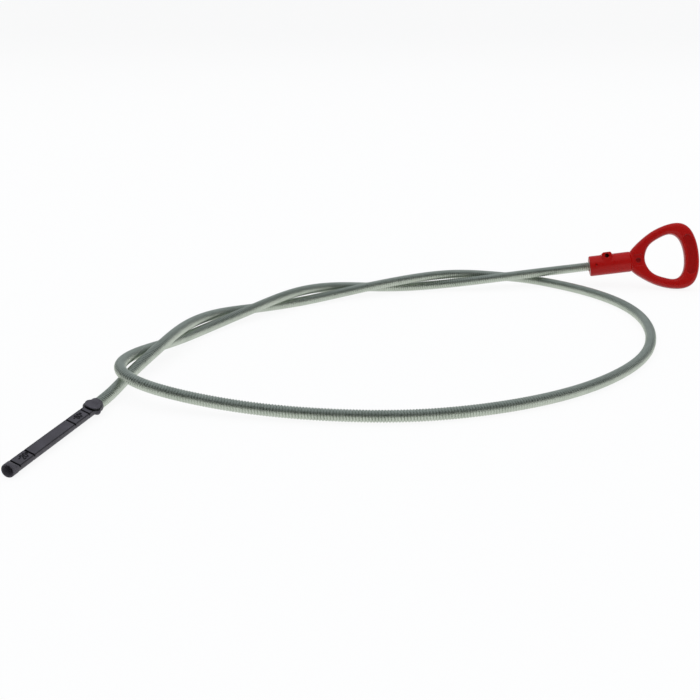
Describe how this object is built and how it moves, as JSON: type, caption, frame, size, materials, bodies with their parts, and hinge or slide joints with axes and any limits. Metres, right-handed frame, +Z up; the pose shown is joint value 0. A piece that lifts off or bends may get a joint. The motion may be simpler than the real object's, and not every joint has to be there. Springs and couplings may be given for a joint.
{
  "type": "flexible fluid dipstick",
  "caption": "Flexible dipstick in a loose loop: moulded finger-pull handle, long close-wound steel shaft and a flat-sided measuring tip with level grooves.",
  "frame": {"origin": "on the surface that the part lies on, under the middle of the box round the handle and the tip", "axes": "+Z up, the loop lies flat in XY, the handle is at +X and the tip at -X, and -Y faces the viewer"},
  "size_m": [0.3256, 0.2609, 0.0372],
  "materials": {
    "handle_plastic": "moulded red plastic, satin sheen",
    "shaft_steel": "zinc-plated spring wire, satin",
    "tip_plastic": "moulded dark grey plastic, matt"
  },
  "bodies": {
    "root": {"handle": "handle_plastic", "shaft": "shaft_steel", "tip": "tip_plastic"}
  },
  "joints": []
}
